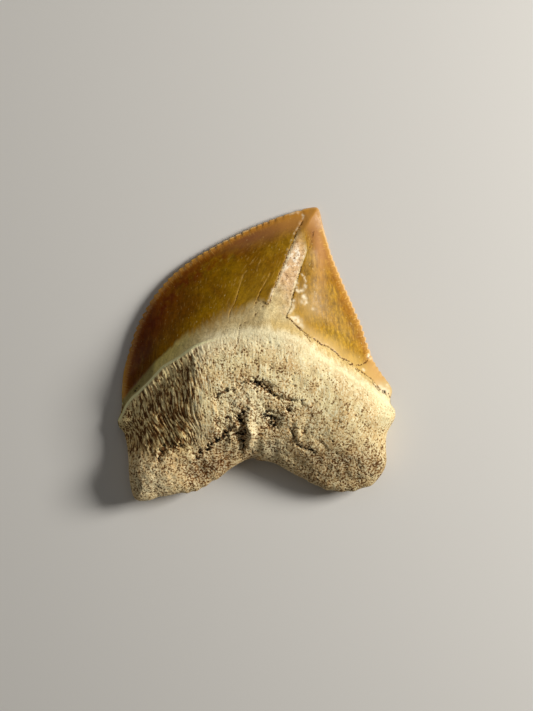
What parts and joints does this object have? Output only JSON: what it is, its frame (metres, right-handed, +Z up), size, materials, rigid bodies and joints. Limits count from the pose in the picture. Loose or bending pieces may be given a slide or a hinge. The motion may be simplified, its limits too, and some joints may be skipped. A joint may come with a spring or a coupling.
{
  "type": "fossil shark tooth",
  "caption": "Fossil crow shark tooth: broad serrated crown leaning to one side, arched neck band and thick notched root; lies on its flatter face as a display specimen.",
  "frame": {"origin": "middle of the tooth's outline, on the surface that it lies on", "axes": "+Z up through the thickness, out of the lingual face; +Y towards the crown's apex; +X towards the distal side, to which the apex leans"},
  "size_m": [0.026, 0.0276, 0.0059],
  "materials": {
    "fossil_tooth": "glossy amber enamel on the crown, rough porous cream root"
  },
  "bodies": {
    "root": {"shark_tooth": "fossil_tooth"}
  },
  "joints": []
}
